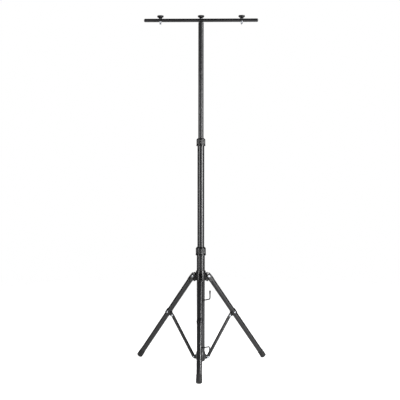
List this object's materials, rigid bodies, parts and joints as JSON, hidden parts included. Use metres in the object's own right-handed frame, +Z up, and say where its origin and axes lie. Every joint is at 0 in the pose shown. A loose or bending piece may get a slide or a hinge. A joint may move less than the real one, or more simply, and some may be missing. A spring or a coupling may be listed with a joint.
{
  "type": "telescopic tripod stand",
  "caption": "Folding tripod with a telescopic round mast, twist-lock collars, a cross bar with knob screws and cable hooks.",
  "frame": {"origin": "the point on the floor under the mast axis", "axes": "+Z up the mast, -Y along the front leg, X along the cross bar"},
  "size_m": [0.6358, 0.5544, 1.645],
  "materials": {
    "steel_powder_coat": "semi-gloss black powder coat on steel tube",
    "nylon_black": "satin black moulded nylon",
    "knob_plastic": "satin black moulded knob plastic",
    "pressed_steel": "black powder coat on pressed steel",
    "hook_steel": "black powder coat on steel wire",
    "zinc_steel": "bright zinc plate",
    "brass": "turned brass",
    "natural_nylon": "natural nylon",
    "foot_rubber": "matt black moulded rubber",
    "tip_vinyl": "dipped black vinyl"
  },
  "bodies": {
    "column": {"outer_tube": "steel_powder_coat", "lower_hub": "nylon_black", "lower_hub_rivets": "zinc_steel", "brace_hub_pins": "zinc_steel", "lower_ferrule": "nylon_black", "lower_collet": "natural_nylon"},
    "lower_collar": {"lower_collar": "nylon_black"},
    "middle_mast": {"middle_tube": "steel_powder_coat", "middle_guide_bush": "natural_nylon", "upper_ferrule": "nylon_black", "upper_collet": "natural_nylon"},
    "upper_collar": {"upper_collar": "nylon_black"},
    "upper_mast": {"upper_tube": "steel_powder_coat", "upper_guide_bush": "natural_nylon", "mast_top_plug": "nylon_black", "plug_nut": "zinc_steel"},
    "cross_bar": {"t_bar": "steel_powder_coat", "t_bar_end_caps": "nylon_black", "t_bar_screw_bushes": "zinc_steel"},
    "knob_left_screw": {"knob_left": "knob_plastic", "stud_left": "zinc_steel"},
    "knob_centre_screw": {"knob_centre": "knob_plastic", "stud_centre": "zinc_steel"},
    "knob_right_screw": {"knob_right": "knob_plastic", "stud_right": "zinc_steel"},
    "top_hub": {"top_hub": "nylon_black", "hub_insert": "brass", "clamp_pad": "natural_nylon"},
    "clamp_knob": {"clamp_knob": "knob_plastic", "clamp_stud": "zinc_steel"},
    "leg_front": {"leg_tube_front": "steel_powder_coat", "leg_fork_front": "nylon_black", "leg_pin_front": "zinc_steel", "foot_front": "foot_rubber", "bracket_front": "nylon_black", "bracket_rivet_front": "zinc_steel", "brace_pin_front": "zinc_steel", "upper_cable_hook": "hook_steel", "lower_cable_hook": "hook_steel", "cable_hook_tips": "tip_vinyl"},
    "brace_front": {"brace_front": "pressed_steel"},
    "leg_right": {"leg_tube_right": "steel_powder_coat", "leg_fork_right": "nylon_black", "leg_pin_right": "zinc_steel", "foot_right": "foot_rubber", "bracket_right": "nylon_black", "bracket_rivet_right": "zinc_steel", "brace_pin_right": "zinc_steel"},
    "brace_right": {"brace_right": "pressed_steel"},
    "leg_left": {"leg_tube_left": "steel_powder_coat", "leg_fork_left": "nylon_black", "leg_pin_left": "zinc_steel", "foot_left": "foot_rubber", "bracket_left": "nylon_black", "bracket_rivet_left": "zinc_steel", "brace_pin_left": "zinc_steel"},
    "brace_left": {"brace_left": "pressed_steel"}
  },
  "joints": [
    {"name": "lower_collar_twist", "type": "hinge", "parent": "column", "child": "lower_collar", "pos_m": [0, 0, 0.54], "axis": [0, 0, 1], "range_deg": [0, 270]},
    {"name": "middle_mast_slide", "type": "slide", "parent": "column", "child": "middle_mast", "axis": [0, 0, 1], "range_m": [-0.43, 0]},
    {"name": "upper_collar_twist", "type": "hinge", "parent": "middle_mast", "child": "upper_collar", "pos_m": [0, 0, 1.055], "axis": [0, 0, 1], "range_deg": [0, 270]},
    {"name": "upper_mast_slide", "type": "slide", "parent": "middle_mast", "child": "upper_mast", "axis": [0, 0, 1], "range_m": [-0.5, 0]},
    {"name": "cross_bar_swivel", "type": "hinge", "parent": "upper_mast", "child": "cross_bar", "pos_m": [0, 0, 1.62251], "axis": [0, 0, 1], "continuous": true},
    {"name": "knob_left_turn", "type": "hinge", "parent": "cross_bar", "child": "knob_left_screw", "pos_m": [-0.19, 0, 1.64], "axis": [0, 0, 1], "range_deg": [0, 720]},
    {"name": "knob_centre_turn", "type": "hinge", "parent": "cross_bar", "child": "knob_centre_screw", "pos_m": [0, 0, 1.64], "axis": [0, 0, 1], "range_deg": [0, 720]},
    {"name": "knob_right_turn", "type": "hinge", "parent": "cross_bar", "child": "knob_right_screw", "pos_m": [0.19, 0, 1.64], "axis": [0, 0, 1], "range_deg": [0, 720]},
    {"name": "fold", "type": "hinge", "parent": "column", "child": "brace_front", "pos_m": [0, -0.037, 0.035], "axis": [-1, 0, 0], "range_deg": [0, 35.32]},
    {"name": "leg_front_fold", "type": "hinge", "parent": "brace_front", "child": "leg_front", "pos_m": [0, -0.15866, 0.22263], "axis": [1, 0, 0], "range_deg": [0, 69.35]},
    {"name": "brace_right_fold", "type": "hinge", "parent": "column", "child": "brace_right", "pos_m": [0.03204, 0.0185, 0.035], "axis": [0.5, -0.866, 0], "range_deg": [0, 35.42]},
    {"name": "leg_right_fold", "type": "hinge", "parent": "brace_right", "child": "leg_right", "pos_m": [0.13741, 0.07933, 0.22263], "axis": [-0.5, 0.866, 0], "range_deg": [0, 69.35]},
    {"name": "brace_left_fold", "type": "hinge", "parent": "column", "child": "brace_left", "pos_m": [-0.03204, 0.0185, 0.035], "axis": [0.5, 0.866, 0], "range_deg": [0, 35.42]},
    {"name": "leg_left_fold", "type": "hinge", "parent": "brace_left", "child": "leg_left", "pos_m": [-0.13741, 0.07933, 0.22263], "axis": [-0.5, -0.866, 0], "range_deg": [0, 69.35]},
    {"name": "top_hub_lift", "type": "hinge", "parent": "leg_front", "child": "top_hub", "pos_m": [0, -0.04, 0.42111], "axis": [-1, 0, 0], "range_deg": [0, 34.03]},
    {"name": "clamp_knob_turn", "type": "hinge", "parent": "top_hub", "child": "clamp_knob", "pos_m": [0, 0.035, 0.43151], "axis": [0, 1, 0], "range_deg": [0, 720]}
  ],
  "couplings": [
    {"joint": "leg_front_fold", "follows": "fold", "ratio": 1.9579},
    {"joint": "brace_right_fold", "follows": "fold", "ratio": 1},
    {"joint": "leg_right_fold", "follows": "fold", "ratio": 1.9579},
    {"joint": "brace_left_fold", "follows": "fold", "ratio": 1},
    {"joint": "leg_left_fold", "follows": "fold", "ratio": 1.9579},
    {"joint": "top_hub_lift", "follows": "fold", "ratio": 0.9579}
  ]
}
